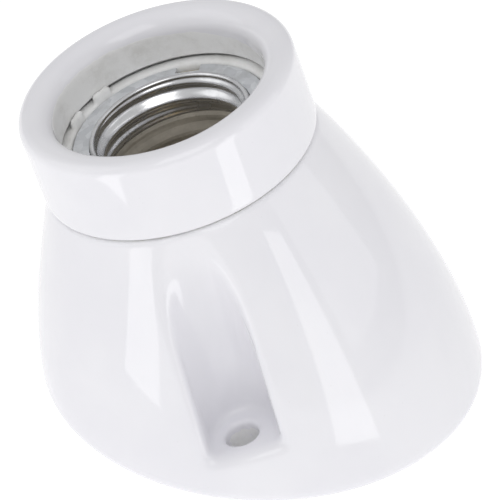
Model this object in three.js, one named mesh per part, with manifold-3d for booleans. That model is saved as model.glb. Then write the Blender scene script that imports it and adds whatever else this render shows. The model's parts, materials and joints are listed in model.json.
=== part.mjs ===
// Slanted porcelain lampholder for an E27 heat lamp.
// Millimetres. +Z points away from the wall and the neck leans towards -X.
// The two fixing pockets lie on -Y and +Y.
import * as THREE from 'three';
import { mergeVertices } from 'three/addons/utils/BufferGeometryUtils.js';
import { LoftGeometry } from 'three/addons/geometries/LoftGeometry.js';
import Module from 'manifold-3d';

const wasm = await Module();
wasm.setup();

// ---- driving dimensions -------------------------------------------------------------

const GAP = 0.3; // assembly gap between neighbouring pieces

// Housing: round foot on the wall, flaring up to a smaller shoulder on a tilted axis.
// "Level" always means the distance from the wall plane along the neck axis.
const FOOT_RADIUS = 38.1;
const FOOT_ROUND = 2.2;
const FLARE_POWER = 1.5; // how late the flare draws in
const LEAN_POWER = 2 / 3; // how early the sections tilt over
const OFFSET_POWER = 2.4; // how late the middle of the sections moves aside
const SHOULDER_INSET = 0.45; // inside the collar's outer face
const SHOULDER_LEVEL = 47.4;
const NECK_TILT = THREE.MathUtils.degToRad(16.6);
const NECK_OFFSET = 0.9;
const BODY_WALL = 5;
const LEDGE_THICKNESS = 4;
const NECK_WALL = 2.8; // bore to thread root

// Collar: the porcelain ring that screws on the neck.
const COLLAR_WALL = 3.05; // thread crest to outer face
const COLLAR_HEIGHT = 15.2;
const BORE_INSET = 1.5; // plain wall just above the thread, inside the neck's thread root
const MOUTH_INSET = 0.3; // how much the wall draws in from there to the mouth
const LIP_ROUND_OUTER = 1.8;
const LIP_ROUND_INNER = 3.3;
const SEAT_ROUND = 0.8;
const SEAM_GAP = 0.3;
const COLLAR_STEP = 0.5; // from the top of the collar's thread up to its plain wall
const WASHER_THICKNESS = 0.6;
const WASHER_WIDTH = 1.3;

// Round thread between neck and collar.
const NECK_THREAD_DEPTH = 0.8;
const NECK_THREAD_PITCH = 3.2;
const THREAD_CLEARANCE = 0.4;
const NECK_THREAD_START = 0.8; // above the shoulder
const NECK_THREAD_END = 0.7; // below the neck's top

// E27 socket: 7 threads per inch.
const RIM_ABOVE_SHOULDER = 6.8;
const SHELL_ROOT_RADIUS = 13.3;
const SHELL_THREAD_DEPTH = 1.1;
const SHELL_PITCH = 25.4 / 7;
const SHELL_TURNS = 2.1;
const SHELL_SHEET = 0.5;
const SOCKET_DEPTH = 25.7; // shell rim to the floor of the ceramic core

// Ceramic core and the plate round the shell.
const CORE_WALL = 3; // round the shell
const CORE_FLOOR = 5;
const CORE_THREAD_TURNS = 2;
const CORE_THREAD_DEPTH = 0.6;
const FLOOR_CHAMFER = 2;
const PLATE_THICKNESS = 0.7;
const PLATE_BELOW_RIM = 0.8;
const PLATE_NOTCH_DEPTH = 1.8;
const PLATE_NOTCH_WIDTH = 4.4;
const PLATE_NOTCH_ANGLE = THREE.MathUtils.degToRad(81);

// Locating lugs on the end of the neck.
const LUG_ANGLES = [134, 157, 314, 337].map(THREE.MathUtils.degToRad);
const LUG_WIDTH = 3.6;
const LUG_HEIGHT = 1.5;

// Fixing pockets for the two wall screws.
const SCREW_FROM_EDGE = 8.1; // gives the usual 60 mm between the two screws
const SCREW_HOLE_RADIUS = 2.9;
const POCKET_RADIUS = 6.2;
const POCKET_SHIFT = 1; // the channel's middle lies this far uphill of the screw
const POCKET_WALL = 3.6;
const POCKET_LEVEL = 10;
const PAST_ALL = 20; // how far cuts run on beyond the surface they open

// Electrical parts.
const CONDUCTOR = 0.8;
const RISER_WIDTH = 5.2;
const TERMINAL_FROM_LEDGE = 6;
const TERMINAL_WIDTH = 8.4;
const TERMINAL_LENGTH = 7.8;
const TERMINAL_THICKNESS = 3;
const WIRE_SCREW_RADIUS = 1.6;
const WIRE_SCREW_HEAD_RADIUS = 3.1;
const WIRE_SCREW_HEAD = 2.4;
const CLAMP_THICKNESS = 1.1;
const CONTACT_SCREW_RADIUS = 1.3;
const CONTACT_SCREW_HEAD_RADIUS = 2.2;
const CONTACT_SCREW_HEAD = 1.5;
const CONTACT_FROM_WALL = 4.8;
const LEAF_WIDTH = 6;
const LEAF_SHEET = 0.5;
const LEAF_RISE = 3.4;
const LEAF_FOOT_INNER = 2.6; // from the contact screw inwards
const LEAF_FOOT_OUTER = 2.2;
const CORE_SCREW_FROM_EDGE = 2.6;
const CORE_SCREW_RADIUS = 1.3;
const CORE_SCREW_HEAD_RADIUS = 2.4;
const CORE_SCREW_HEAD = 1.8;
const WASHER_SHEET = 0.6;
const SLOT_WIDTH = 0.8;
const SLOT_DEPTH = 0.8;
const RIVET_RADIUS = 1;
const RIVET_Y = -2.7;
const RIVET_ABOVE_SHELL_FOOT = 1.7;
const SCREW_CLEARANCE = 0.35;

// Smoothness.
const ROUND_SIDES = 48;
const SMALL_SIDES = 16;
const POCKET_SIDES = 24;
const SHELL_SIDES = 40;
const ROWS_PER_PITCH = 5;

// ---- sizes worked out from the driving dimensions -----------------------------------

// Radii, from the socket outwards.
const shellOutside = SHELL_ROOT_RADIUS + SHELL_SHEET;
const shellSeat = shellOutside + GAP;
const coreBore = SHELL_ROOT_RADIUS + 0.1;
const coreRadius = shellSeat + CORE_WALL;
const neckBore = coreRadius + GAP;
const threadRoot = neckBore + NECK_WALL;
const threadCrest = threadRoot + NECK_THREAD_DEPTH;
const collarBore = threadRoot - BORE_INSET;
const collarMouth = collarBore - MOUTH_INSET;
const collarRadius = threadCrest + COLLAR_WALL;
const shoulderRadius = collarRadius - SHOULDER_INSET;
const washerInner = threadCrest + THREAD_CLEARANCE + 0.1;
const coreScrewCircle = coreRadius - CORE_SCREW_FROM_EDGE;
const ledgeOpening = coreScrewCircle - CORE_SCREW_HEAD_RADIUS + 0.2;
const terminalOffset = ledgeOpening - TERMINAL_FROM_LEDGE;
const terminalReach = terminalOffset + TERMINAL_LENGTH / 2;
const strapOutside = coreRadius - 0.4;
const strapClear = CONDUCTOR + 0.15;
const contactFootY = coreBore - CONTACT_FROM_WALL;
const leafBend = contactFootY - LEAF_FOOT_INNER - GAP;
const screwY = FOOT_RADIUS - SCREW_FROM_EDGE;

// Levels.
const shellRimLevel = SHOULDER_LEVEL + RIM_ABOVE_SHOULDER;
const socketFloor = shellRimLevel - SOCKET_DEPTH;
const coreBottom = socketFloor - CORE_FLOOR;
const plateTop = shellRimLevel - PLATE_BELOW_RIM;
const plateBottom = plateTop - PLATE_THICKNESS;
const coreTop = plateBottom - GAP;
const neckTop = plateTop + 0.2;
const ledgeTop = coreBottom - GAP;
const ledgeBottom = ledgeTop - LEDGE_THICKNESS;
const collarBottom = SHOULDER_LEVEL + SEAM_GAP;
const collarTop = collarBottom + COLLAR_HEIGHT;
const washerBottom = collarBottom + 0.1;
const terminalTop = coreBottom - GAP;
const terminalBottom = terminalTop - TERMINAL_THICKNESS;
const strapTop = coreBottom + CONDUCTOR;
const shellBottom = shellRimLevel - SHELL_TURNS * SHELL_PITCH;
const rivetLevel = shellBottom + RIVET_ABOVE_SHELL_FOOT;
const bothSides = [-1, 1];

// ---- helpers ------------------------------------------------------------------------

/** Turns a closed geometry into a manifold solid. */
function solid(geometry) {
  const bare = geometry.index ? geometry.toNonIndexed() : geometry.clone();
  bare.deleteAttribute('normal');
  bare.deleteAttribute('uv');
  const merged = mergeVertices(bare, 1e-4);
  const vertProperties = new Float32Array(merged.attributes.position.array);
  const triVerts = new Uint32Array(merged.index.array);
  return new wasm.Manifold(new wasm.Mesh({ numProp: 3, vertProperties, triVerts }));
}

/** Turns a manifold solid back into a geometry. */
function geometryOf(body) {
  const mesh = body.getMesh();
  const geometry = new THREE.BufferGeometry();
  geometry.setAttribute('position', new THREE.BufferAttribute(mesh.vertProperties, 3));
  geometry.setIndex(new THREE.BufferAttribute(mesh.triVerts, 1));
  geometry.computeVertexNormals();
  return geometry;
}

function union(bodies) {
  return bodies.reduce((whole, body) => whole.add(body));
}

/** Cylinder along Z between two levels, centred on (x, y). */
function rod(radius, low, high, x = 0, y = 0, sides = SMALL_SIDES) {
  const geometry = new THREE.CylinderGeometry(radius, radius, high - low, sides);
  geometry.rotateX(Math.PI / 2);
  return geometry.translate(x, y, (low + high) / 2);
}

/** Cylinder along X between two places, at height z. */
function crossRod(radius, start, end, z) {
  const geometry = new THREE.CylinderGeometry(radius, radius, end - start, SMALL_SIDES);
  geometry.rotateZ(Math.PI / 2);
  return geometry.translate((start + end) / 2, 0, z);
}

function block(low, high) {
  const size = high.map((value, axis) => value - low[axis]);
  const middle = high.map((value, axis) => (value + low[axis]) / 2);
  return new THREE.BoxGeometry(...size).translate(...middle);
}

/** Revolves [radius, level] points round Z. */
function revolve(profile, sides = ROUND_SIDES) {
  const points = profile.map(([radius, level]) => new THREE.Vector2(radius, level));
  return new THREE.LatheGeometry(points, sides).rotateX(Math.PI / 2);
}

/** Closed profile of a ring: inner radius, outer radius, low level, high level. */
function ring(inner, outer, low, high) {
  return [[inner, low], [outer, low], [outer, high], [inner, high], [inner, low]];
}

/** Points of a rounded corner, from one angle to another (degrees). */
function corner(radius, level, round, from, to, steps = 6) {
  return Array.from({ length: steps + 1 }, (_, i) => {
    const angle = THREE.MathUtils.degToRad(from + ((to - from) * i) / steps);
    return [radius + round * Math.cos(angle), level + round * Math.sin(angle)];
  });
}

/** Evenly spaced points on a straight stretch of profile, both ends included. */
function straight(radius, from, to, count) {
  return Array.from({ length: count + 1 }, (_, i) => [radius, from + ((to - from) * i) / count]);
}

/** Moves points radially, by a function of their angle, level and radius. */
function pushRadially(geometry, offset) {
  const position = geometry.attributes.position;
  for (let i = 0; i < position.count; i += 1) {
    const x = position.getX(i);
    const y = position.getY(i);
    const radius = Math.hypot(x, y);
    if (radius > 0) {
      const moved = radius + offset(Math.atan2(y, x), position.getZ(i), radius);
      position.setX(i, (x / radius) * moved);
      position.setY(i, (y / radius) * moved);
    }
  }
  return geometry;
}

/** Right-handed round thread: 0 in the groove, 1 on the ridge. */
function ridge(angle, level, pitch) {
  return (1 + Math.cos(2 * Math.PI * (level / pitch) - angle)) / 2;
}

/** 0 at both ends of a thread and 1 from a third of a pitch inside them. */
function runIn(level, pitch, low, high) {
  const fromEnd = Math.min(level - low, high - level);
  return THREE.MathUtils.clamp(fromEnd / (pitch / 3), 0, 1);
}

/** Rows that a thread of this length needs. */
function threadRows(length, pitch) {
  return Math.ceil((length / pitch) * ROWS_PER_PITCH);
}

const neckMatrix = new THREE.Matrix4()
  .makeRotationY(-NECK_TILT)
  .setPosition(-NECK_OFFSET, 0, 0);

/** Moves a geometry made round the neck axis to its place in the housing's frame. */
function alongNeck(geometry) {
  return geometry.applyMatrix4(neckMatrix);
}

function material(color, roughness, metalness) {
  return new THREE.MeshStandardMaterial({ color, roughness, metalness });
}

const glaze = material(0xf0eff4, 0.08, 0);
const bareCeramic = material(0xc9c3b8, 0.75, 0);
const galvanised = material(0x8d959d, 0.42, 1);
const nickel = material(0xc8c9cc, 0.2, 1);
const brass = material(0xc9a24a, 0.3, 1);
const steel = material(0xa9abae, 0.35, 1);
const rubber = material(0x6a6a6a, 0.8, 0);

function part(name, geometry, look) {
  const mesh = new THREE.Mesh(geometry, look);
  mesh.name = name;
  return mesh;
}

// ---- housing ------------------------------------------------------------------------

/** Outer radius of the body at a share of the way from wall to shoulder. */
function bodyRadius(share) {
  const flare = shoulderRadius + (FOOT_RADIUS - shoulderRadius) * (1 - Math.max(share, 0) ** FLARE_POWER);
  const up = Math.max(FOOT_ROUND - Math.max(share, 0) * SHOULDER_LEVEL, 0);
  return flare - (FOOT_ROUND - Math.sqrt(FOOT_ROUND ** 2 - up ** 2));
}

/** One round section of the body; the sections lean over gradually, foot to shoulder. */
function bodySection(share, inset) {
  const along = Math.max(share, 0);
  const lean = NECK_TILT * along ** LEAN_POWER;
  const level = share * SHOULDER_LEVEL;
  const centre = new THREE.Vector3(
    -NECK_OFFSET * along ** OFFSET_POWER - level * Math.sin(NECK_TILT) * (share > 0 ? 1 : 0),
    0,
    level * (share > 0 ? Math.cos(NECK_TILT) : 1),
  );
  const uphill = new THREE.Vector3(Math.cos(lean), 0, Math.sin(lean));
  const radius = bodyRadius(share) - inset;
  return Array.from({ length: ROUND_SIDES }, (_, i) => {
    const angle = (2 * Math.PI * i) / ROUND_SIDES;
    return centre.clone()
      .addScaledVector(uphill, radius * Math.cos(angle))
      .add(new THREE.Vector3(0, radius * Math.sin(angle), 0));
  });
}

function bodyLoft(shares, inset) {
  const sections = shares.map((share) => bodySection(share, inset));
  return solid(new LoftGeometry(sections, { capStart: true, capEnd: true }));
}

/** The threaded end of the neck, above the shoulder. */
function neckEnd() {
  const low = SHOULDER_LEVEL + NECK_THREAD_START;
  const high = neckTop - NECK_THREAD_END;
  const root = SHOULDER_LEVEL - 6; // buried in the body
  const inside = neckBore - 1; // cut back by the neck's bore
  const profile = [
    [inside, root],
    [threadRoot, root],
    ...straight(threadRoot, low, high, threadRows(high - low, NECK_THREAD_PITCH)),
    [threadRoot - 0.3, neckTop],
    [inside, neckTop],
    [inside, root],
  ];
  const threaded = pushRadially(revolve(profile), (angle, level, radius) => {
    const height = NECK_THREAD_DEPTH * runIn(level, NECK_THREAD_PITCH, low, high);
    return radius > threadRoot - 0.1 ? height * ridge(angle, level, NECK_THREAD_PITCH) : 0;
  });
  return solid(alongNeck(threaded));
}

/** Small ceramic lugs that stand on the end of the neck, round the plate. */
function neckLugs() {
  const inner = neckBore + 0.1;
  const outer = collarBore - GAP;
  return LUG_ANGLES.map((angle) => {
    const lug = block([inner, -LUG_WIDTH / 2, neckTop - 1], [outer, LUG_WIDTH / 2, neckTop + LUG_HEIGHT]);
    return solid(alongNeck(lug.rotateZ(angle)));
  });
}

/** Hollow under the body for the wires, with the two pocket walls standing in it. */
function wiringHollow() {
  const shares = [-0.06, 0, 0.06, 0.18, 0.3, 0.42, 0.55];
  const hollow = bodyLoft(shares, BODY_WALL);
  const below = alongNeck(block([-60, -60, -30], [60, 60, ledgeBottom]));
  const wallRadius = POCKET_RADIUS + POCKET_WALL;
  const walls = bothSides.map((side) => solid(alongNeck(
    rod(wallRadius, -PAST_ALL, SHOULDER_LEVEL, POCKET_SHIFT, side * screwY, POCKET_SIDES),
  )));
  return hollow.intersect(solid(below)).subtract(union(walls));
}

function pocketCuts() {
  return bothSides.flatMap((side) => {
    const y = side * screwY;
    const outwards = y + side * 3 * POCKET_RADIUS;
    const top = SHOULDER_LEVEL + PAST_ALL;
    const channel = rod(POCKET_RADIUS, POCKET_LEVEL, top, POCKET_SHIFT, y, POCKET_SIDES);
    const mouth = block(
      [POCKET_SHIFT - POCKET_RADIUS, Math.min(y, outwards), POCKET_LEVEL],
      [POCKET_SHIFT + POCKET_RADIUS, Math.max(y, outwards), top],
    );
    const hole = rod(SCREW_HOLE_RADIUS, -PAST_ALL, POCKET_LEVEL + 1, 0, y, POCKET_SIDES);
    return [channel, mouth, hole].map((cut) => solid(alongNeck(cut)));
  });
}

/** Bore for the ceramic core, opening below it, and clearance holes for its screws. */
function neckCuts() {
  const cuts = [
    rod(neckBore, ledgeTop, collarTop, 0, 0, ROUND_SIDES),
    rod(ledgeOpening, ledgeBottom - 12, ledgeTop + 1, 0, 0, 32),
    ...bothSides.map((side) => rod(
      CORE_SCREW_RADIUS + SCREW_CLEARANCE, ledgeBottom - 2, ledgeTop + 1, 0, side * coreScrewCircle,
    )),
  ];
  return cuts.map((cut) => solid(alongNeck(cut)));
}

function housing() {
  const foot = [0, 0.012, 0.046];
  const rest = Array.from({ length: 10 }, (_, i) => 0.1 + (0.9 * i) / 9);
  const outside = bodyLoft([...foot, ...rest], 0);
  const hollows = union([wiringHollow(), ...pocketCuts(), ...neckCuts()]);
  const body = union([outside, neckEnd()]).subtract(hollows);
  return geometryOf(union([body, ...neckLugs()]));
}

// ---- collar and its washer ----------------------------------------------------------

function collar() {
  const low = washerBottom + WASHER_THICKNESS + GAP;
  const high = neckTop + GAP;
  const groove = threadCrest + THREAD_CLEARANCE;
  const washerRoom = washerInner + WASHER_WIDTH + 0.1;
  const profile = [
    [washerRoom, collarBottom],
    ...corner(collarRadius - SEAT_ROUND, collarBottom + SEAT_ROUND, SEAT_ROUND, -90, 0, 3),
    ...corner(collarRadius - LIP_ROUND_OUTER, collarTop - LIP_ROUND_OUTER, LIP_ROUND_OUTER, 0, 90),
    ...corner(collarMouth + LIP_ROUND_INNER, collarTop - LIP_ROUND_INNER, LIP_ROUND_INNER, 90, 180),
    [collarBore, high + COLLAR_STEP],
    ...straight(groove, high, low, threadRows(high - low, NECK_THREAD_PITCH)),
    [washerRoom, low],
    [washerRoom, collarBottom],
  ];
  const threaded = pushRadially(revolve(profile), (angle, level, radius) => {
    const depth = NECK_THREAD_DEPTH * runIn(level, NECK_THREAD_PITCH, low, high);
    const onThread = Math.abs(radius - groove) < 0.01;
    return onThread ? depth * (ridge(angle, level, NECK_THREAD_PITCH) - 1) : 0;
  });
  return threaded;
}

function collarWasher() {
  const top = washerBottom + WASHER_THICKNESS;
  return revolve(ring(washerInner, washerInner + WASHER_WIDTH, washerBottom, top));
}

// ---- socket -------------------------------------------------------------------------

/** Pressed E27 thread ring with a rolled rim. */
function screwShell() {
  const low = shellBottom + 0.3;
  const high = shellRimLevel - 0.8;
  const rows = threadRows(high - low, SHELL_PITCH);
  const rim = SHELL_ROOT_RADIUS + 0.3;
  const profile = [
    [SHELL_ROOT_RADIUS, shellBottom],
    [shellOutside, shellBottom],
    ...straight(shellOutside, low, high, rows),
    [rim + SHELL_SHEET, shellRimLevel - 0.3],
    [rim + SHELL_SHEET - 0.15, shellRimLevel],
    [rim + 0.1, shellRimLevel],
    [rim, shellRimLevel - 0.3],
    ...straight(SHELL_ROOT_RADIUS, high, low, rows),
    [SHELL_ROOT_RADIUS, shellBottom],
  ];
  return pushRadially(revolve(profile, SHELL_SIDES), (angle, level) => {
    const depth = SHELL_THREAD_DEPTH * runIn(level, SHELL_PITCH, low, high);
    return depth * (ridge(angle, level, SHELL_PITCH) - 1);
  });
}

/** Steatite core: socket below the shell, floor with the contacts, grooves for the straps. */
function ceramicCore() {
  const threadHigh = shellBottom - GAP;
  const threadLow = threadHigh - CORE_THREAD_TURNS * SHELL_PITCH;
  const profile = [
    [0, coreBottom],
    [coreRadius, coreBottom],
    [coreRadius, coreTop],
    [shellSeat, coreTop],
    [shellSeat, threadHigh],
    ...straight(coreBore, threadHigh, threadLow, threadRows(threadHigh - threadLow, SHELL_PITCH)),
    [coreBore, socketFloor + FLOOR_CHAMFER],
    [coreBore - FLOOR_CHAMFER, socketFloor],
    [0, socketFloor],
  ];
  const body = solid(pushRadially(revolve(profile), (angle, level, radius) => {
    const depth = CORE_THREAD_DEPTH * runIn(level, SHELL_PITCH, threadLow, threadHigh);
    const onThread = Math.abs(radius - coreBore) < 0.01;
    return onThread ? depth * (ridge(angle, level, SHELL_PITCH) - 1) : 0;
  }));
  const strapRoom = CONDUCTOR + GAP;
  const half = TERMINAL_WIDTH / 2 + GAP;
  const riserHalf = RISER_WIDTH / 2 + GAP;
  const reach = terminalReach + GAP;
  const grooves = [
    block([-reach, -half, coreBottom - 1], [-2, half, coreBottom + strapRoom]),
    block([-coreRadius - 2, -riserHalf, coreBottom - 1], [-reach + 1, riserHalf, coreBottom + strapRoom]),
    block([-coreRadius - 2, -riserHalf, coreBottom], [-strapOutside + strapRoom, riserHalf, coreTop - 1]),
    block([2, -half, coreBottom - 1], [reach, half, coreBottom + strapRoom]),
    ...liveTail(GAP, coreBottom - 1, coreBottom + strapRoom),
    rod(CONTACT_SCREW_RADIUS + SCREW_CLEARANCE, coreBottom, socketFloor + 1, 0, contactFootY),
    ...bothSides.map((side) => rod(
      WIRE_SCREW_RADIUS + 0.7, coreBottom, coreBottom + 3, side * terminalOffset, 0,
    )),
    ...bothSides.map((side) => rod(
      CORE_SCREW_RADIUS + SCREW_CLEARANCE, coreBottom - 1, socketFloor - 0.8, 0, side * coreScrewCircle,
    )),
    ...bothSides.map((side) => rod(
      RIVET_RADIUS + GAP, coreBottom, coreBottom + 2.6, side * terminalOffset, RIVET_Y,
    )),
    crossRod(RIVET_RADIUS + GAP, -coreRadius - 1, coreRadius + 1, rivetLevel),
    crossRod(RIVET_RADIUS + 1.1, coreRadius - 1.7, coreRadius + 1, rivetLevel),
  ];
  return geometryOf(body.subtract(union(grooves.map(solid))));
}

function retainingPlate() {
  const body = solid(revolve(ring(shellSeat + 0.2, coreRadius, plateBottom, plateTop)));
  const notches = [0, Math.PI].map((turn) => {
    const inner = coreRadius - PLATE_NOTCH_DEPTH;
    const half = PLATE_NOTCH_WIDTH / 2;
    const cut = block([inner, -half, plateBottom - 1], [coreRadius + 1, half, plateTop + 1]);
    return solid(cut.rotateZ(PLATE_NOTCH_ANGLE + turn));
  });
  return geometryOf(body.subtract(union(notches)));
}

/** Rivet through the shell and the core's wall, head inside the shell. */
function shellRivet(side) {
  const inside = shellSeat + 0.1;
  const outside = side < 0 ? strapOutside - strapClear : coreRadius - 0.8;
  const shank = crossRod(RIVET_RADIUS, inside, outside, rivetLevel);
  const head = crossRod(RIVET_RADIUS + 0.8, outside - 0.6, outside, rivetLevel);
  const whole = side < 0 ? [shank] : [shank, head];
  const body = geometryOf(union(whole.map(solid)));
  return side < 0 ? body.rotateZ(Math.PI) : body;
}

// ---- contacts and terminals ---------------------------------------------------------

/** Fixed foot of the centre contact, flat on the socket floor. */
function leafFoot() {
  const low = socketFloor + GAP;
  const plate = block(
    [-LEAF_WIDTH / 2, contactFootY - LEAF_FOOT_INNER, low],
    [LEAF_WIDTH / 2, contactFootY + LEAF_FOOT_OUTER, low + LEAF_SHEET],
  );
  const hole = rod(CONTACT_SCREW_RADIUS + SCREW_CLEARANCE, low - 1, low + 2, 0, contactFootY);
  return geometryOf(solid(plate).subtract(solid(hole)));
}

/** Flexing arm of the centre contact: rises from the foot to the middle of the socket. */
function leafArm() {
  const low = socketFloor + GAP;
  const high = low + LEAF_RISE;
  const top = new THREE.Shape([
    new THREE.Vector2(leafBend, low),
    new THREE.Vector2(leafBend, low + LEAF_SHEET),
    new THREE.Vector2(2.6, high + LEAF_SHEET),
    new THREE.Vector2(-2.6, high + LEAF_SHEET),
    new THREE.Vector2(-3.6, high + LEAF_SHEET - 0.9),
    new THREE.Vector2(-3.6, high - 0.9),
    new THREE.Vector2(-2.4, high),
    new THREE.Vector2(2.4, high),
  ]);
  const arm = new THREE.ExtrudeGeometry(top, { depth: LEAF_WIDTH, bevelEnabled: false });
  return arm.translate(0, 0, -LEAF_WIDTH / 2).applyMatrix4(new THREE.Matrix4().set(
    0, 0, 1, 0,
    1, 0, 0, 0,
    0, 1, 0, 0,
    0, 0, 0, 1,
  ));
}

function centreButton() {
  const low = socketFloor + GAP + LEAF_RISE + LEAF_SHEET + 0.1;
  return revolve([[0, low], [2.1, low], [2.1, low + 0.5], [1.4, low + 1], [0, low + 1.2]], 24);
}

/** Cheese-head screw along the neck axis; its head is at the end given by `headUp`. */
function slottedScrew(shankRadius, headRadius, headHeight, low, high, headUp) {
  const headLow = headUp ? high - headHeight : low;
  const shank = solid(rod(shankRadius, low, high));
  const head = solid(rod(headRadius, headLow, headLow + headHeight, 0, 0, 24));
  const face = headUp ? high : low;
  const slot = block(
    [-headRadius - 1, -SLOT_WIDTH / 2, face - SLOT_DEPTH],
    [headRadius + 1, SLOT_WIDTH / 2, face + SLOT_DEPTH],
  );
  return geometryOf(shank.add(head).subtract(solid(slot)));
}

function centreScrew() {
  const low = coreBottom - GAP / 2;
  const high = socketFloor + GAP + LEAF_SHEET + 0.2 + CONTACT_SCREW_HEAD;
  const screw = slottedScrew(
    CONTACT_SCREW_RADIUS, CONTACT_SCREW_HEAD_RADIUS, CONTACT_SCREW_HEAD, low, high, true,
  );
  return screw.translate(0, contactFootY, 0);
}

/** Flat conductor under the core with its holes. */
function strapPlate(bodies, side) {
  const holes = [
    rod(WIRE_SCREW_RADIUS + SCREW_CLEARANCE, coreBottom - 1, strapTop + 1, side * terminalOffset, 0),
    rod(RIVET_RADIUS + 0.15, coreBottom - 1, strapTop + 1, side * terminalOffset, RIVET_Y),
  ];
  return union(bodies.map(solid)).subtract(union(holes.map(solid)));
}

/** The live conductor's way from its terminal to the contact screw, grown by a margin. */
function liveTail(margin, low, high) {
  const nearSide = TERMINAL_WIDTH / 2 + 0.9;
  return [
    block([2.4 - margin, 0, low], [6.4 + margin, nearSide + 2 + margin, high]),
    block([-2.8 - margin, nearSide - margin, low], [6.4 + margin, contactFootY + 2.4 + margin, high]),
  ];
}

function liveStrap() {
  const half = TERMINAL_WIDTH / 2;
  const plate = block([2.4, -half, coreBottom], [terminalReach, half, strapTop]);
  const body = strapPlate([plate, ...liveTail(0, coreBottom, strapTop)], 1);
  const hole = rod(CONTACT_SCREW_RADIUS + SCREW_CLEARANCE, coreBottom - 1, strapTop + 1, 0, contactFootY);
  return geometryOf(body.subtract(solid(hole)));
}

function neutralStrap() {
  const half = TERMINAL_WIDTH / 2;
  const riserHalf = RISER_WIDTH / 2;
  const plate = block([-terminalReach, -half, coreBottom], [-2.4, half, strapTop]);
  const tail = block([-strapOutside, -riserHalf, coreBottom], [-terminalReach + 1, riserHalf, strapTop]);
  const riser = block(
    [-strapOutside, -riserHalf, coreBottom],
    [-strapOutside + CONDUCTOR, riserHalf, rivetLevel + 2.2],
  );
  return geometryOf(strapPlate([plate, tail, riser], -1));
}

function terminalBlock(side) {
  const halfLength = TERMINAL_LENGTH / 2;
  const halfWidth = TERMINAL_WIDTH / 2;
  const x = side * terminalOffset;
  const body = block(
    [x - halfLength, -halfWidth, terminalBottom],
    [x + halfLength, halfWidth, terminalTop],
  );
  const holes = [
    rod(WIRE_SCREW_RADIUS + SCREW_CLEARANCE, terminalBottom - 1, terminalTop + 1, x, 0),
    rod(RIVET_RADIUS + 0.15, terminalBottom - 1, terminalTop + 1, x, RIVET_Y - 0.05),
  ];
  return geometryOf(solid(body).subtract(union(holes.map(solid))));
}

/** Saddle plate between the screw's head and the terminal block. */
function clampPlate(side) {
  const top = terminalBottom - GAP;
  const half = TERMINAL_LENGTH / 2 - 0.6;
  const x = side * terminalOffset;
  const body = block([x - half, -half, top - CLAMP_THICKNESS], [x + half, half, top]);
  const hole = rod(WIRE_SCREW_RADIUS + SCREW_CLEARANCE, top - 3, top + 1, x, 0);
  return geometryOf(solid(body).subtract(solid(hole)));
}

function wireScrew(side) {
  const headTop = terminalBottom - GAP - CLAMP_THICKNESS - GAP;
  const low = headTop - WIRE_SCREW_HEAD;
  const screw = slottedScrew(
    WIRE_SCREW_RADIUS, WIRE_SCREW_HEAD_RADIUS, WIRE_SCREW_HEAD, low, coreBottom + 1.8, false,
  );
  return screw.translate(side * terminalOffset, 0, 0);
}

function terminalRivet(side) {
  return rod(
    RIVET_RADIUS, terminalBottom + 0.4, coreBottom + 2.2, side * terminalOffset, RIVET_Y - 0.02,
  );
}

/** Screw that comes up through the housing's ledge into the core. */
function coreScrew(side) {
  const headTop = ledgeBottom - GAP - WASHER_SHEET - GAP;
  const low = headTop - CORE_SCREW_HEAD;
  const screw = slottedScrew(
    CORE_SCREW_RADIUS, CORE_SCREW_HEAD_RADIUS, CORE_SCREW_HEAD, low, socketFloor - 1.2, false,
  );
  return screw.translate(0, side * coreScrewCircle, 0);
}

function coreScrewWasher(side) {
  const top = ledgeBottom - GAP;
  const flat = revolve(ring(CORE_SCREW_RADIUS + SCREW_CLEARANCE, 2.6, top - WASHER_SHEET, top), 24);
  return flat.translate(0, side * coreScrewCircle, 0);
}

// ---- assembly -----------------------------------------------------------------------

const neck = new THREE.Group();
neck.applyMatrix4(neckMatrix);
neck.add(
  part('collar', collar(), glaze),
  part('collar_washer', collarWasher(), rubber),
  part('screw_shell', screwShell(), nickel),
  part('retaining_plate', retainingPlate(), galvanised),
  part('ceramic_insert', ceramicCore(), bareCeramic),
  part('leaf_foot', leafFoot(), brass),
  part('centre_leaf', leafArm(), brass),
  part('centre_button', centreButton(), nickel),
  part('centre_screw', centreScrew(), steel),
  part('live_strap', liveStrap(), brass),
  part('neutral_strap', neutralStrap(), brass),
  part('shell_rivet_left', shellRivet(-1), nickel),
  part('shell_rivet_right', shellRivet(1), nickel),
);
for (const [name, side] of [['neutral', -1], ['live', 1]]) {
  neck.add(
    part(`${name}_terminal`, terminalBlock(side), brass),
    part(`${name}_clamp_plate`, clampPlate(side), steel),
    part(`${name}_wire_screw`, wireScrew(side), steel),
    part(`${name}_terminal_rivet`, terminalRivet(side), brass),
  );
}
for (const [name, side] of [['front', -1], ['rear', 1]]) {
  neck.add(
    part(`insert_screw_${name}`, coreScrew(side), steel),
    part(`insert_washer_${name}`, coreScrewWasher(side), steel),
  );
}

const fixture = new THREE.Group();
fixture.add(part('housing', housing(), glaze), neck);
fixture.updateMatrixWorld(true);

// The origin is under the middle of the whole fixture, on the wall plane.
const extent = new THREE.Box3().setFromObject(fixture, true);
fixture.position.x = -(extent.min.x + extent.max.x) / 2;
fixture.updateMatrixWorld(true);

export default fixture;
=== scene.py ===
"""Slanted porcelain lampholder: fine meshes, materials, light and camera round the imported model."""
import json
import math

import bpy
import numpy as np
from mathutils import Matrix, Vector


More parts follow.
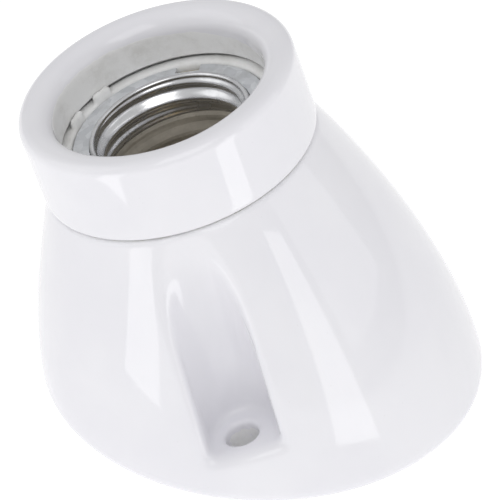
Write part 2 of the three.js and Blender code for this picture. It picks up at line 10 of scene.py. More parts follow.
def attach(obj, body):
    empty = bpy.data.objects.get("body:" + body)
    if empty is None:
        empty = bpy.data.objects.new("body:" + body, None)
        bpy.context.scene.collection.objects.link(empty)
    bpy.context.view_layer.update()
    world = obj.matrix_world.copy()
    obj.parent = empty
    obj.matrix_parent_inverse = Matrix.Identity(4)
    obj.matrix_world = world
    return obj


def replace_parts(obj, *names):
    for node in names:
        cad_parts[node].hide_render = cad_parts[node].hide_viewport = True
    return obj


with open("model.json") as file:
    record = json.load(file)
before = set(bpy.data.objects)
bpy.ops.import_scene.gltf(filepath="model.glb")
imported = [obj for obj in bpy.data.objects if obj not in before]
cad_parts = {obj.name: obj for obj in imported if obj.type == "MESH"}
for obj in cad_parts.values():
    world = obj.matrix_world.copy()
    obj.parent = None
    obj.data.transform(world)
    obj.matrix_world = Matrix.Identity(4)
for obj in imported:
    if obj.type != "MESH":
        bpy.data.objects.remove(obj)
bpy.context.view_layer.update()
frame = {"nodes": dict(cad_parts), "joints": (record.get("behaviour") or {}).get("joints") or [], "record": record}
MM = 0.001

# ---- the neck's own frame, from the collar's joint ------------------------------------
# Neck coordinates are millimetres: x uphill, y across, "level" along the neck axis from
# the wall plane. Body coordinates are millimetres from the middle of the round foot.

joint = {j["name"]: j for j in frame["joints"]}
AXIS = np.array(joint["collar_turn"]["axis"], float)
AXIS /= np.linalg.norm(AXIS)
UPHILL = np.array([AXIS[2], 0.0, -AXIS[0]])
TILT = math.acos(AXIS[2])
on_axis = np.array(joint["collar_turn"]["pos_m"], float)
NECK_FOOT = on_axis - AXIS * on_axis[2] / AXIS[2]
TURN = np.array([UPHILL, [0.0, 1.0, 0.0], AXIS])


def to_neck(points):
    """Neck coordinates of points in metres."""
    return (np.asarray(points, float) - NECK_FOOT) @ TURN.T / MM


def from_neck(points):
    """Points in metres from neck coordinates."""
    return np.asarray(points, float) * MM @ TURN + NECK_FOOT


def neck_points(node):
    return to_neck([v.co for v in frame["nodes"][node].data.vertices])


def levels(node):
    """Lowest and highest level of a CAD node."""
    level = neck_points(node)[:, 2]
    return float(level.min()), float(level.max())


def radii(node, low=-1e9, high=1e9):
    """Smallest and largest distance of a CAD node's corners from the neck axis."""
    points = neck_points(node)
    points = points[(points[:, 2] > low) & (points[:, 2] < high)]
    radius = np.hypot(points[:, 0], points[:, 1])
    return float(radius.min()), float(radius.max())


# ---- sizes, in millimetres ----------------------------------------------------------------

FOOT_RADIUS = 38.05
SHOULDER = 47.4
SHOULDER_RADIUS = 23.6
NECK_OFFSET = 0.9
BODY_WALL = 5.0
FOOT_X = NECK_FOOT[0] / MM + NECK_OFFSET

SCREW_AT = 30.0
SCREW_HOLE = 2.9
POCKET_RADIUS = 6.2
POCKET_SHIFT = 1.0
POCKET_WALL = 3.6
POCKET_LEVEL = 10.0

CORE_LOW = levels("ceramic_insert")[0]
CORE_SCREW_AT = 14.5
CORE_SCREW_HOLE = 1.65
CORE_SCREW_LAND = 2.2
LEDGE_TOP = CORE_LOW - 0.3
LEDGE_LOW = LEDGE_TOP - 4.0

PLATE_TOP = levels("retaining_plate")[1]
PLATE_OUTER = radii("retaining_plate")[1]
NECK_TOP = PLATE_TOP + 0.2
BORE = PLATE_OUTER + 0.3

THREAD_PITCH = 3.2
THREAD_DEPTH = 0.8
THREAD_ROOT = 20.2
THREAD_CLEARANCE = 0.4

COLLAR_LOW, COLLAR_TOP = levels("collar")
COLLAR_RADIUS = radii("collar")[1]
COLLAR_BORE = THREAD_ROOT - 1.5
COLLAR_STEP = 0.5
COLLAR_MOUTH = radii("collar", COLLAR_TOP - 6)[0]
LIP_OUTER_ROUND = 1.9
LIP_INNER_ROUND = 3.25
SEAT_ROUND = 0.9
GLAZE_END = 58.9
GLAZE_DIP = 1.6
GLAZE_DIP_AT = math.radians(25)

LUG_ANGLES = (134, 157, 314, 337)
LUG_LENGTH, LUG_HEIGHT = 3.6, 2.5
LUG_ROUND = 0.35

SHELL_LOW, SHELL_RIM = levels("screw_shell")
SHELL_ROOT = 13.3
SHELL_CREST = 12.2
SHELL_SHEET = 0.5
SHELL_PITCH = 25.4 / 7
RIM_ROLL = 0.42

HOUSING_STEP = 0.5


# ---- mesh helpers ---------------------------------------------------------------------

def new_object(name, points_m, faces, materials):
    """A smooth-shaded mesh object from points in metres."""
    mesh = bpy.data.meshes.new(name)
    mesh.from_pydata([tuple(p) for p in points_m], [], [tuple(f) for f in faces])
    mesh.validate()
    piece = bpy.data.objects.new(name, mesh)
    bpy.context.scene.collection.objects.link(piece)
    for material in materials:
        mesh.materials.append(material)
    mesh.polygons.foreach_set("use_smooth", [True] * len(mesh.polygons))
    return piece


def revolved(profile, sides, push=None):
    """Points and quads of a closed profile [(radius, level)] turned round the neck axis."""
    profile = np.asarray(profile, float)
    angle = np.linspace(0, 2 * math.pi, sides, endpoint=False)
    radius = np.repeat(profile[None, :, 0], sides, 0)
    level = np.repeat(profile[None, :, 1], sides, 0)
    around = np.repeat(angle[:, None], len(profile), 1)
    if push is not None:
        radius = radius + push(around, level, radius)
    points = np.stack([radius * np.cos(around), radius * np.sin(around), level], -1)
    count = len(profile)
    faces = []
    for i in range(sides):
        j = (i + 1) % sides
        for k in range(count):
            n = (k + 1) % count
            faces.append((i * count + k, j * count + k, j * count + n, i * count + n))
    return points.reshape(-1, 3), faces


def arc(radius, level, round_, start, end, steps=10):
    """Points of a rounded corner of a profile, angles in degrees."""
    turn = np.radians(np.linspace(start, end, steps + 1))
    return [(radius + round_ * math.cos(a), level + round_ * math.sin(a)) for a in turn]


def line(radius_a, level_a, radius_b, level_b, steps):
    """Evenly spaced points of a straight stretch of a profile."""
    return [
        (radius_a + (radius_b - radius_a) * i / steps, level_a + (level_b - level_a) * i / steps)
        for i in range(steps + 1)
    ]


def ridge(angle, level, pitch):
    """Right-handed round thread: 0 in the groove, 1 on the ridge."""
    return (1 + np.cos(2 * math.pi * level / pitch - angle)) / 2


def run_in(level, pitch, low, high):
    """Thread depth share: it grows over a third of a pitch from each end."""
    return np.clip(np.minimum(level - low, high - level) / (pitch / 3), 0, 1)


def paint(piece, name, values):
    """Stores one number for each point, for a material to read."""
    layer = piece.data.attributes.new(name, "FLOAT", "POINT")
    layer.data.foreach_set("value", np.asarray(values, np.float32))


# ---- the housing as a distance field ----------------------------------------------------
# The last number of each smooth_max or smooth_min is the rounding of that edge.

LEAN_POWER = 2 / 3
DRIFT_POWER = 2.4
FLARE_POWER = 1.5
FLARE_SLOPE = 0.85
SHARE_BELOW, SHARE_ABOVE = -0.2, 1.6
MOST_SHARE = 1.3
HALVINGS = 26
FAR = 1e3


def smooth_max(a, b, k):
    """Intersection of two fields with its edge rounded over about k millimetres."""
    h = np.maximum(k - np.abs(a - b), 0) / k
    return np.maximum(a, b) + h * h * k / 4


def smooth_min(a, b, k):
    """Join of two fields with its inner corner filled over about k millimetres."""
    return -smooth_max(-a, -b, k)


def body_lean(share):
    """Lean of the section at a share of the way from wall to shoulder."""
    return TILT * np.clip(share, 0, MOST_SHARE) ** LEAN_POWER


def body_share(x, z):
    """Share of the way from wall to shoulder of the leaning section through (x, z)."""
    low = np.full(np.shape(x), SHARE_BELOW)
    high = np.full(np.shape(x), SHARE_ABOVE)
    for _ in range(HALVINGS):
        share = (low + high) / 2
        lean = body_lean(share)
        centre_x, centre_z = body_centre(share)
        above = (z - centre_z) * np.cos(lean) - (x - centre_x) * np.sin(lean) > 0
        low = np.where(above, share, low)
        high = np.where(above, high, share)
    return (low + high) / 2


def body_centre(share):
    """Centre of the section: it drifts sideways on its way up to the neck axis."""
    along = np.maximum(share, 0)
    level = share * SHOULDER
    x = -NECK_OFFSET * along ** DRIFT_POWER - np.where(share > 0, level * math.sin(TILT), 0)
    return x, level * np.where(share > 0, math.cos(TILT), 1)


def body_flare(share):
    """Outer radius of the body at a share of the way up."""
    along = np.maximum(share, 0)
    return SHOULDER_RADIUS + (FOOT_RADIUS - SHOULDER_RADIUS) * (1 - along ** FLARE_POWER)


def housing_field(points):
    """Signed distance, near enough, to the housing; points are body coordinates."""
    x, y, z = points[..., 0], points[..., 1], points[..., 2]
    neck_x = (x + NECK_OFFSET) * math.cos(TILT) + z * math.sin(TILT)
    level = -(x + NECK_OFFSET) * math.sin(TILT) + z * math.cos(TILT)
    radius = np.hypot(neck_x, y)
    share = body_share(x, z)
    centre_x, centre_z = body_centre(share)
    lean = body_lean(share)
    uphill = (x - centre_x) * np.cos(lean) + (z - centre_z) * np.sin(lean)
    from_centre = np.hypot(uphill, y)
    skin = (from_centre - body_flare(share)) * FLARE_SLOPE
    field = smooth_max(skin, -z, 3.2)
    field = smooth_max(field, level - SHOULDER, 0.8)

    for side in (-1, 1):
        inward = np.maximum(SCREW_AT - side * y, 0)
        channel = np.hypot(neck_x - POCKET_SHIFT, inward) - POCKET_RADIUS
        pocket = smooth_max(channel, POCKET_LEVEL - level, 1.6)
        field = smooth_max(field, -pocket, 1.9)

    field = smooth_min(field, neck_end_field(neck_x, y, level, radius), 0.5)
    hollow = from_centre - (body_flare(share) - BODY_WALL)
    hollow = smooth_max(hollow, level - LEDGE_LOW, 2.0)
    for side in (-1, 1):
        from_pocket = np.hypot(neck_x - POCKET_SHIFT, y - side * SCREW_AT)
        hollow = smooth_max(hollow, POCKET_RADIUS + POCKET_WALL - from_pocket, 2.0)
    field = smooth_max(field, -hollow, 1.2)
    field = smooth_max(field, -np.maximum(radius - BORE, LEDGE_TOP - level), 0.7)
    field = smooth_max(field, CORE_SCREW_AT - CORE_SCREW_LAND - radius, 0.7)
    for side in (-1, 1):
        from_core_screw = np.hypot(neck_x, y - side * CORE_SCREW_AT)
        field = smooth_max(field, CORE_SCREW_HOLE - from_core_screw, 0.5)
        from_wall_screw = np.hypot(neck_x, y - side * SCREW_AT)
        field = smooth_max(field, SCREW_HOLE - from_wall_screw, 1.0)
    return smooth_min(field, lugs_field(neck_x, y, level), 0.4)


def neck_end_field(neck_x, y, level, radius):
    """The threaded ring that stands on the shoulder."""
    low, high = SHOULDER + 0.8, NECK_TOP - 0.7
    angle = np.arctan2(y, neck_x)
    height = THREAD_DEPTH * run_in(level, THREAD_PITCH, low, high)
    outside = (radius - THREAD_ROOT - height * ridge(angle, level, THREAD_PITCH)) * 0.75
    return smooth_max(smooth_max(outside, level - NECK_TOP, 0.9), SHOULDER - 6 - level, 0.5)


def lugs_field(neck_x, y, level):
    """Rounded blocks on the neck's end."""
    middle_radius = (BORE + COLLAR_BORE - 0.2) / 2
    half = ((COLLAR_BORE - 0.3 - BORE) / 2, LUG_LENGTH / 2, LUG_HEIGHT / 2)
    nearest = np.full(np.shape(neck_x), FAR)
    for angle in np.radians(LUG_ANGLES):
        out = neck_x * math.cos(angle) + y * math.sin(angle) - middle_radius
        across = -neck_x * math.sin(angle) + y * math.cos(angle)
        up = level - (NECK_TOP + 0.25)
        apart = [np.abs(v) - h + LUG_ROUND for v, h in zip((out, across, up), half)]
        outside = np.sqrt(sum(np.maximum(v, 0) ** 2 for v in apart))
        inside = np.minimum(np.maximum(np.maximum(apart[0], apart[1]), apart[2]), 0)
        nearest = np.minimum(nearest, outside + inside - LUG_ROUND)
    return nearest


def surface_net(field, low, high, step):
    """Quad mesh of the zero surface of a field, its points drawn on to the surface."""
    axes = [np.arange(a, b + step, step) for a, b in zip(low, high)]
    grid = np.stack(np.meshgrid(*axes, indexing="ij"), -1)
    value = np.concatenate([field(grid[i:i + 16]) for i in range(0, len(axes[0]), 16)], 0)
    inside = value < 0
    shape = [n - 1 for n in inside.shape]
    corner = [(i, j, k) for i in (0, 1) for j in (0, 1) for k in (0, 1)]
    cut = {c: tuple(slice(o, o + n) for o, n in zip(c, shape)) for c in corner}
    filled = sum(inside[cut[c]].astype(np.int8) for c in corner)
    active = (filled > 0) & (filled < 8)
    index = np.full(shape, -1)
    index[active] = np.arange(active.sum())
    total = np.zeros((int(active.sum()), 3))
    hits = np.zeros(int(active.sum()))
    for a in corner:
        for axis in range(3):
            if a[axis]:
                continue
            b = tuple(1 if n == axis else v for n, v in enumerate(a))
            va, vb = value[cut[a]][active], value[cut[b]][active]
            crossing = (va < 0) != (vb < 0)
            share = np.where(crossing, va / np.where(crossing, va - vb, 1), 0)
            place = np.array(a, float) + share[:, None] * (np.array(b) - np.array(a))
            total += np.where(crossing[:, None], place, 0)
            hits += crossing
    cell = np.argwhere(active)
    points = np.array(low) + (cell + total / hits[:, None]) * step
    quads = []
    for axis in range(3):
        first = [slice(None)] * 3
        second = [slice(None)] * 3
        first[axis], second[axis] = slice(0, -1), slice(1, None)
        changed = inside[tuple(first)] != inside[tuple(second)]
        edge = np.argwhere(changed)
        u, v = (axis + 1) % 3, (axis + 2) % 3
        keep = (edge[:, u] > 0) & (edge[:, v] > 0) & (edge[:, u] < shape[u]) & (edge[:, v] < shape[v])
        edge = edge[keep]
        ring = []
        for du, dv in ((1, 1), (0, 1), (0, 0), (1, 0)):
            at = edge.copy()
            at[:, u] -= du
            at[:, v] -= dv
            ring.append(index[at[:, 0], at[:, 1], at[:, 2]])
        quad = np.stack(ring, 1)
        solid_first = inside[tuple(edge.T)]
        quad[~solid_first] = quad[~solid_first][:, ::-1]
        quads.append(quad)
    quads = np.concatenate(quads)
    quads = quads[(quads >= 0).all(1)]
    for _ in range(2):
        points = settle(field, relax(points, quads), step)
    return settle(field, points, step), quads


def relax(points, quads):
    """Moves each point half-way to the middle of its neighbours."""
    total = np.zeros_like(points)
    count = np.zeros(len(points))
    for i in range(4):
        a, b = quads[:, i], quads[:, (i + 1) % 4]
        for here, there in ((a, b), (b, a)):
            np.add.at(total, here, points[there])
            np.add.at(count, here, 1)
    return points * 0.5 + total / count[:, None] * 0.5


def settle(field, points, step):
    """Draws points along the field's slope to its zero surface."""
    tiny = 0.02
    for _ in range(3):
        slope = np.stack([
            (field(points + tiny * axis) - field(points - tiny * axis)) / (2 * tiny)
            for axis in np.eye(3)
        ], -1)
        length2 = np.maximum((slope ** 2).sum(-1), 0.05)
        move = -(field(points) / length2)[:, None] * slope
        far = np.linalg.norm(move, axis=1, keepdims=True)
        points = points + move * np.minimum(1, 0.5 * step / np.maximum(far, 1e-9))
    return points


# ---- materials --------------------------------------------------------------------------

class Nodes:
    """Short way to write a material's node tree."""

    def __init__(self, name, roughness, metallic=0.0, ior=1.5):
        self.material = bpy.data.materials.new(name)
        self.material.use_nodes = True
        self.tree = self.material.node_tree
        self.shader = self.tree.nodes["Principled BSDF"]
        self.shader.inputs["Roughness"].default_value = roughness
        self.shader.inputs["Metallic"].default_value = metallic
        self.shader.inputs["IOR"].default_value = ior
        self.place = self.add("ShaderNodeTexCoord").outputs["Object"]

    def add(self, kind, **values):
        node = self.tree.nodes.new(kind)
        for key, value in values.items():
            setattr(node, key, value)
        return node

    def link(self, source, target):
        self.tree.links.new(source, target)

    def noise(self, per_metre, detail=4.0, roughness=0.55, stretch=None):
        node = self.add("ShaderNodeTexNoise")
        node.inputs["Scale"].default_value = per_metre
        node.inputs["Detail"].default_value = detail
        node.inputs["Roughness"].default_value = roughness
        self.link(self.stretched(stretch), node.inputs["Vector"])
        return node.outputs["Fac"]

    def stretched(self, stretch):
        """Object coordinates turned into the neck's frame and scaled on each axis."""
        if stretch is None:
            return self.place
        mapping = self.add("ShaderNodeMapping")
        mapping.inputs["Rotation"].default_value = (0, TILT, 0)
        mapping.inputs["Scale"].default_value = stretch
        self.link(self.place, mapping.inputs["Vector"])
        return mapping.outputs["Vector"]

    def cells(self, per_metre, feature="F1", output="Distance"):
        node = self.add("ShaderNodeTexVoronoi", feature=feature)
        node.inputs["Scale"].default_value = per_metre
        self.link(self.place, node.inputs["Vector"])
        return node.outputs[output]

    def span(self, source, from_low, from_high, to_low, to_high):
        node = self.add("ShaderNodeMapRange", interpolation_type="SMOOTHSTEP")
        for key, value in zip(
            ("From Min", "From Max", "To Min", "To Max"), (from_low, from_high, to_low, to_high)
        ):
            node.inputs[key].default_value = value
        self.link(source, node.inputs["Value"])
        return node.outputs["Result"]

    def math(self, operation, a, b):
        node = self.add("ShaderNodeMath", operation=operation)
        for socket, value in zip(node.inputs, (a, b)):
            if isinstance(value, (int, float)):
                socket.default_value = value
            else:
                self.link(value, socket)
        return node.outputs[0]

    def mix(self, share, a, b):
        node = self.add("ShaderNodeMix", data_type="RGBA")
        sockets = [s for s in node.inputs if s.type == "RGBA"]
        for socket, value in zip(sockets, (a, b)):
            if isinstance(value, tuple):
                socket.default_value = (*value, 1)
            else:
                self.link(value, socket)
        self.link(share, node.inputs[0])
        return [s for s in node.outputs if s.type == "RGBA"][0]

    def mix_number(self, share, a, b):
        node = self.add("ShaderNodeMix", data_type="FLOAT")
        sockets = [s for s in node.inputs if s.type == "VALUE"][1:3]
        for socket, value in zip(sockets, (a, b)):
            if isinstance(value, (int, float)):
                socket.default_value = value
            else:
                self.link(value, socket)
        self.link(share, node.inputs[0])
        return [s for s in node.outputs if s.type == "VALUE"][0]

    def bump(self, height, depth_mm, strength=1.0, below=None):
        node = self.add("ShaderNodeBump")
        node.inputs["Strength"].default_value = strength
        node.inputs["Distance"].default_value = depth_mm * MM
        self.link(height, node.inputs["Height"])
        if below is not None:
            self.link(below, node.inputs["Normal"])
        return node.outputs["Normal"]

    def painted(self, name):
        node = self.add("ShaderNodeAttribute", attribute_name=name)
        return node.outputs["Fac"]

    def finish(self, colour=None, roughness=None, normal=None):
        if colour is not None:
            self.link(colour, self.shader.inputs["Base Color"])
        if roughness is not None:
            self.link(roughness, self.shader.inputs["Roughness"])
        if normal is not None:
            self.link(normal, self.shader.inputs["Normal"])
        return self.material


def porcelain():
    """Clear glaze over white porcelain, and the bare body where the glaze stops."""
    n = Nodes("porcelain_glaze", 0.07, ior=1.52)
    edge = n.math("ADD", n.painted("bare"), n.span(n.noise(420, 3), 0.3, 0.7, -0.18, 0.18))
    bare = n.span(edge, 0.42, 0.58, 0, 1)
    cloud = n.span(n.noise(45, 3), 0.35, 0.7, 0, 1)
    glaze = n.mix(cloud, (0.83, 0.825, 0.865), (0.86, 0.856, 0.89))
    specks = n.span(n.cells(420), 0.035, 0.06, 0.12, 0)
    glaze = n.mix(specks, glaze, (0.5, 0.47, 0.44))
    stain = n.span(n.noise(160, 6, 0.65), 0.42, 0.72, 0, 1)
    biscuit = n.mix(stain, (0.86, 0.86, 0.855), (0.73, 0.725, 0.71))
    blotch = n.span(n.noise(330, 5, 0.6), 0.6, 0.68, 0, 0.5)
    biscuit = n.mix(blotch, biscuit, (0.86, 0.86, 0.855))
    colour = n.mix(bare, glaze, biscuit)
    roughness = n.mix_number(bare, n.span(cloud, 0, 1, 0.05, 0.085), 0.72)
    ripple = n.bump(n.noise(70, 2), 0.1, 0.22)
    grain = n.bump(n.math("MULTIPLY", n.noise(2600, 3), bare), 0.06, 0.7, below=ripple)
    return n.finish(colour, roughness, grain)


def steatite():
    """Unglazed pressed ceramic of the core."""
    n = Nodes("bare_steatite", 0.75)
    stain = n.span(n.noise(110, 6, 0.65), 0.35, 0.7, 0, 1)
    colour = n.mix(stain, (0.50, 0.46, 0.39), (0.36, 0.33, 0.28))
    specks = n.span(n.cells(900), 0.1, 0.2, 0.5, 0)
    colour = n.mix(specks, colour, (0.24, 0.21, 0.17))
    return n.finish(colour, n.span(stain, 0, 1, 0.62, 0.82), n.bump(n.noise(2200, 3), 0.05, 0.8))


def galvanised():
    """Zinc-plated sheet with its crystals and dull handling marks."""
    n = Nodes("galvanised_sheet", 0.42, metallic=0.6)
    crystal = n.add("ShaderNodeTexVoronoi")
    crystal.inputs["Scale"].default_value = 520
    n.link(n.place, crystal.inputs["Vector"])
    tone = n.span(crystal.outputs["Color"], 0.2, 0.9, 0, 1)
    colour = n.mix(tone, (0.70, 0.72, 0.75), (0.84, 0.86, 0.89))
    dull = n.span(n.noise(240, 5), 0.45, 0.7, 0, 0.8)
    colour = n.mix(dull, colour, (0.60, 0.61, 0.62))
    return n.finish(colour, n.mix_number(dull, 0.34, 0.6), n.bump(n.noise(900, 4), 0.03, 0.6))


def nickel():
    """Bright plating on pressed sheet, drawn lines round the neck axis."""
    n = Nodes("nickel_plate", 0.14, metallic=1.0)
    haze = n.span(n.noise(260, 4), 0.4, 0.75, 0, 1)
    colour = n.mix(haze, (0.78, 0.785, 0.80), (0.62, 0.625, 0.64))
    lines = n.noise(1500, 3, stretch=(0.12, 0.12, 1))
    return n.finish(colour, n.mix_number(haze, 0.2, 0.32), n.bump(lines, 0.02, 0.4))


def contact_brass():
    """Rolled brass strip, tarnished in patches."""
    n = Nodes("contact_brass", 0.28, metallic=1.0)
    tarnish = n.span(n.noise(300, 5, 0.6), 0.45, 0.75, 0, 1)
    colour = n.mix(tarnish, (0.83, 0.62, 0.30), (0.52, 0.36, 0.16))
    grain = n.noise(1800, 3, stretch=(0.1, 1, 1))
    return n.finish(colour, n.mix_number(tarnish, 0.22, 0.48), n.bump(grain, 0.03, 0.5))


def screw_steel():
    """Zinc-plated turned steel."""
    n = Nodes("screw_steel", 0.3, metallic=1.0)
    haze = n.span(n.noise(520, 4), 0.4, 0.75, 0, 1)
    colour = n.mix(haze, (0.66, 0.67, 0.69), (0.47, 0.47, 0.48))
    return n.finish(colour, n.mix_number(haze, 0.24, 0.46), n.bump(n.noise(2600, 2), 0.02, 0.6))


def washer_rubber():
    """Dark rubber with a pale bloom."""
    n = Nodes("washer_rubber", 0.7)
    bloom = n.span(n.noise(400, 4), 0.4, 0.7, 0, 1)
    colour = n.mix(bloom, (0.10, 0.10, 0.105), (0.19, 0.19, 0.195))
    return n.finish(colour, n.mix_number(bloom, 0.6, 0.8), n.bump(n.noise(1800, 3), 0.03, 0.6))


# ---- pieces -------------------------------------------------------------------------------

PARTLY_BARE = 0.62


def smooth_step(value, low, high):
    """0 below low, 1 above high and smooth between."""
    share = np.clip((value - low) / (high - low), 0, 1)
    return share * share * (3 - 2 * share)


def bare_housing(points, neck):
    """How bare each housing point is: foot, threaded ring, hollow and bore carry no glaze."""
    radius = np.hypot(neck[:, 0], neck[:, 1])
    level = neck[:, 2]
    foot = 1 - smooth_step(points[:, 2], 0.25, 0.75)
    ring = smooth_step(level, SHOULDER - 0.3, SHOULDER + 0.1)
    from_middle = np.hypot(points[:, 0], points[:, 1])
    hollow = (1 - smooth_step(from_middle, 30, 33)) * (1 - smooth_step(points[:, 2], 16, 22))
    inward = np.maximum(SCREW_AT - np.abs(neck[:, 1]), 0)
    channel = np.hypot(neck[:, 0] - POCKET_SHIFT, inward)
    in_pocket = (channel < POCKET_RADIUS + 2.0) & (level > POCKET_LEVEL - 1.5)
    hollow = np.where(in_pocket, 0, hollow)
    near_bore = 1 - smooth_step(radius, BORE + 0.1, BORE + 0.7)
    bore = near_bore * smooth_step(level, LEDGE_LOW - 1, LEDGE_LOW)
    return np.maximum.reduce([foot, ring, PARTLY_BARE * hollow, bore])


def make_housing(look):
    """The body: foot, leaning flare, screw pockets, threaded ring and the hollow inside."""
    low = (-FOOT_RADIUS - 3, -FOOT_RADIUS - 1.2, -1.3)
    high = (FOOT_RADIUS + 1.5, FOOT_RADIUS + 1.2, 60.5)
    points, quads = surface_net(housing_field, low, high, HOUSING_STEP)
    world = (points + np.array([FOOT_X, 0, 0])) * MM
    piece = new_object("porcelain_housing", world, quads.tolist(), [look])
    paint(piece, "bare", bare_housing(points, to_neck(world)))
    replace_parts(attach(piece, "base"), "housing")


def collar_profile(low, high, groove, room):
    """Closed section of the collar, from the seat round the outside and back up the thread."""
    out, lip, inner, seat = COLLAR_RADIUS, LIP_OUTER_ROUND, LIP_INNER_ROUND, SEAT_ROUND
    step = high + COLLAR_STEP
    return [
        (room, COLLAR_LOW),
        *arc(out - seat, COLLAR_LOW + seat, seat, -90, 0, 8),
        *line(out, COLLAR_LOW + 2, out, COLLAR_TOP - lip - 1, 10),
        *arc(out - lip, COLLAR_TOP - lip, lip, 0, 90, 16),
        *arc(COLLAR_MOUTH + inner, COLLAR_TOP - inner, inner, 90, 180, 18),
        *line(COLLAR_MOUTH + 0.02, COLLAR_TOP - inner - 0.5, COLLAR_BORE, step + 0.2, 24),
        *line(COLLAR_BORE + 0.12, step, groove - 0.1, high + 0.05, 6),
        *line(groove, high, groove, low, 40),
        *line(groove + 0.2, low, room, low, 4),
        *line(room, low - 0.2, room, COLLAR_LOW + 0.2, 3),
    ]


def bare_collar(points, high, room):
    """How bare each collar point is: the inner wall under the glaze's edge, thread and seat."""
    radius = np.hypot(points[:, 0], points[:, 1])
    angle = np.arctan2(points[:, 1], points[:, 0])
    level = points[:, 2]
    glaze_end = GLAZE_END - GLAZE_DIP * np.cos(angle + GLAZE_DIP_AT)
    inside = 1 - smooth_step(radius, COLLAR_BORE + 1.2, COLLAR_BORE + 2.0)
    below = 1 - smooth_step(level, glaze_end - 0.6, glaze_end + 0.6)
    near_thread = 1 - smooth_step(radius, room, room + 0.3)
    thread = near_thread * (1 - smooth_step(level, high, high + 1))
    seat = 1 - smooth_step(level, COLLAR_LOW + 0.05, COLLAR_LOW + 0.3)
    return np.maximum.reduce([inside * below, thread, seat])


def make_collar(look):
    """The porcelain ring, with its thread cut inwards from the groove."""
    low = COLLAR_LOW + 1.0
    high = NECK_TOP + 0.3
    groove = THREAD_ROOT + THREAD_DEPTH + THREAD_CLEARANCE
    room = groove + 1.5

    def push(angle, level, radius):
        depth = THREAD_DEPTH * run_in(level, THREAD_PITCH, low, high)
        thread = depth * (ridge(angle, level, THREAD_PITCH) - 1)
        return np.where(np.abs(radius - groove) < 0.01, thread, 0)

    points, faces = revolved(collar_profile(low, high, groove, room), 224, push)
    piece = new_object("porcelain_collar", from_neck(points), faces, [look])
    paint(piece, "bare", bare_collar(points, high, room))
    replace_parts(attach(piece, "collar"), "collar")


def make_shell(look):
    """The plated sheet with its rolled lamp thread and beaded rim."""
    low, high = SHELL_LOW + 0.3, SHELL_RIM - 0.8
    rows = 44
    outside = SHELL_ROOT + SHELL_SHEET
    profile = [
        (SHELL_ROOT, SHELL_LOW),
        (outside, SHELL_LOW),
        *line(outside, low, outside, high, rows),
        *arc(outside - 0.12, SHELL_RIM - RIM_ROLL, RIM_ROLL, -20, 200, 12),
        *line(SHELL_ROOT, high, SHELL_ROOT, low, rows),
    ]

    def push(angle, level, radius):
        depth = (SHELL_ROOT - SHELL_CREST) * run_in(level, SHELL_PITCH, low, high)
        return depth * (ridge(angle, level, SHELL_PITCH) - 1)

    points, faces = revolved(profile, 200, push)
    piece = new_object("e27_shell", from_neck(points), faces, [look])
    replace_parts(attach(piece, "base"), "screw_shell")


def dress_nodes(looks):
    """Gives every carried-over CAD node the material that its slot names."""
    slot_of = {row["node"]: row["material_slot"] for row in frame["record"]["subparts"]}
    for node, piece in frame["nodes"].items():
        piece.data.materials.clear()
        piece.data.materials.append(looks[slot_of[node]])


# ---- floor, light and camera ----------------------------------------------------------------

FLOOR_REACH = 3
KEY_WATTS = 2.3
FILL_WATTS = 1.2
WORLD_STRENGTH = 0.58
FLOOR_GLOW = 0.34
WHITE = (1, 1, 1, 1)

CAMERA_DISTANCE = 0.700
CAMERA_ELEVATION = math.radians(36.1)
CAMERA_AZIMUTH = math.radians(1.0)
CAMERA_TARGET_HEIGHT = 0.030
CAMERA_LENS = 296.1
CAMERA_SHIFT = (-0.0336, -0.0424)


def make_floor():
    r = FLOOR_REACH
    floor = new_object("pale_floor", [(-r, -r, 0), (r, -r, 0), (r, r, 0), (-r, r, 0)], [(0, 1, 2, 3)], [])
    n = Nodes("pale_floor", 0.9)
    n.shader.inputs["Specular IOR Level"].default_value = 0.1
    n.shader.inputs["Emission Color"].default_value = WHITE
    n.shader.inputs["Emission Strength"].default_value = FLOOR_GLOW
    tone = n.span(n.noise(6, 2), 0.3, 0.7, 0, 1)
    floor.data.materials.append(n.finish(n.mix(tone, (0.93, 0.93, 0.93), (0.94, 0.94, 0.94))))


def area_light(name, width, height, watts):
    """A rectangular area light, linked to the scene and not yet placed."""
    data = bpy.data.lights.new(name, "AREA")
    data.shape = "RECTANGLE"
    data.size, data.size_y = width, height
    data.energy = watts
    lamp = bpy.data.objects.new(name, data)
    bpy.context.scene.collection.objects.link(lamp)
    return lamp


def soft_box(name, place, side, watts, aim=(0, 0, 0.035)):
    """Square studio light facing the object."""
    lamp = area_light(name, side, side, watts)
    lamp.location = place
    lamp.rotation_euler = (Vector(aim) - Vector(place)).to_track_quat("-Z", "Y").to_euler()


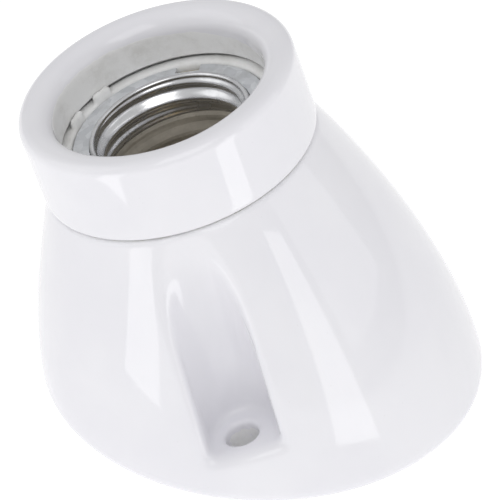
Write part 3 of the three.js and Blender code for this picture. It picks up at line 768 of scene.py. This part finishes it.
def bright_card(name, low, high, width, radiance):
    """Narrow lit card near the object, seen only in the glaze and the metal."""
    low, high = Vector(low), Vector(high)
    middle = (low + high) / 2
    height = (high - low).length
    lamp = area_light(name, width, height, radiance * math.pi * width * height)
    up = (high - low).normalized()
    back = (middle - Vector((0, 0, middle.z))).normalized()
    across = up.cross(back).normalized()
    back = across.cross(up)
    lamp.matrix_world = Matrix((
        (across.x, up.x, back.x, middle.x),
        (across.y, up.y, back.y, middle.y),
        (across.z, up.z, back.z, middle.z),
        (0, 0, 0, 1),
    ))
    lamp.visible_diffuse = False


def make_light():
    world = bpy.data.worlds.new("studio")
    bpy.context.scene.world = world
    world.use_nodes = True
    background = world.node_tree.nodes["Background"]
    background.inputs["Color"].default_value = WHITE
    background.inputs["Strength"].default_value = WORLD_STRENGTH
    soft_box("key_box", (0.0, -0.72, 0.80), 0.7, KEY_WATTS)
    soft_box("left_fill", (-0.9, -0.1, 0.5), 0.8, FILL_WATTS)
    soft_box("right_fill", (0.9, -0.1, 0.5), 0.8, FILL_WATTS)
    bright_card("left_card", (-0.058, -0.062, 0.002), (-0.066, -0.081, 0.050), 0.024, 1.6)
    bright_card("right_card", (0.060, -0.066, 0.002), (0.104, -0.104, 0.098), 0.028, 1.8)


def make_camera():
    """Long lens, looking down at the pocket side."""
    back = Vector((
        math.sin(CAMERA_AZIMUTH) * math.cos(CAMERA_ELEVATION),
        -math.cos(CAMERA_AZIMUTH) * math.cos(CAMERA_ELEVATION),
        math.sin(CAMERA_ELEVATION),
    ))
    target = Vector((FOOT_X * MM, 0, CAMERA_TARGET_HEIGHT))
    data = bpy.data.cameras.new("camera")
    data.sensor_width = 36
    data.lens = CAMERA_LENS
    data.shift_x, data.shift_y = CAMERA_SHIFT
    data.clip_start = 0.01
    camera = bpy.data.objects.new("camera", data)
    bpy.context.scene.collection.objects.link(camera)
    camera.location = target + back * CAMERA_DISTANCE
    camera.rotation_euler = (-back).to_track_quat("-Z", "Y").to_euler()
    bpy.context.scene.camera = camera


# ---- the scene --------------------------------------------------------------------------------

looks = {
    "glaze": porcelain(),
    "bare_ceramic": steatite(),
    "galvanised": galvanised(),
    "nickel": nickel(),
    "contact_brass": contact_brass(),
    "screw_steel": screw_steel(),
    "washer_rubber": washer_rubber(),
}
make_housing(looks["glaze"])
make_collar(looks["glaze"])
make_shell(looks["nickel"])
dress_nodes(looks)
make_floor()
make_light()
make_camera()
bpy.context.scene.view_settings.view_transform = "Standard"

bpy.context.view_layer.update()
